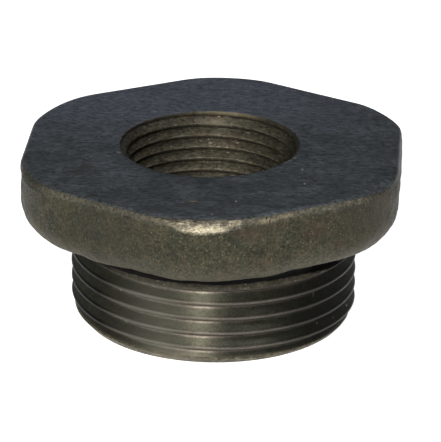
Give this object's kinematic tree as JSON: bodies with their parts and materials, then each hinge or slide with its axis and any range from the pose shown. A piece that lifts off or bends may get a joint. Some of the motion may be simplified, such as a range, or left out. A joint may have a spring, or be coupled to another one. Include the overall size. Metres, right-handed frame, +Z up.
{
  "type": "radiator plug",
  "caption": "Cast-iron reducing plug with a rounded hexagon head, a left-hand outer pipe thread on its shank and a smaller right-hand inner pipe thread right through it.",
  "frame": {"origin": "centre of the lower end face of the threaded shank, on the thread axis", "axes": "+Z up the thread axis from the threaded end to the head's top face; one corner of the hexagon head faces -Y"},
  "size_m": [0.0546, 0.059, 0.026],
  "materials": {
    "cast_iron": "bare sand-cast skin on the head's sides, bare cut metal on the threads and the top face"
  },
  "bodies": {
    "root": {"radiator_plug": "cast_iron"}
  },
  "joints": []
}
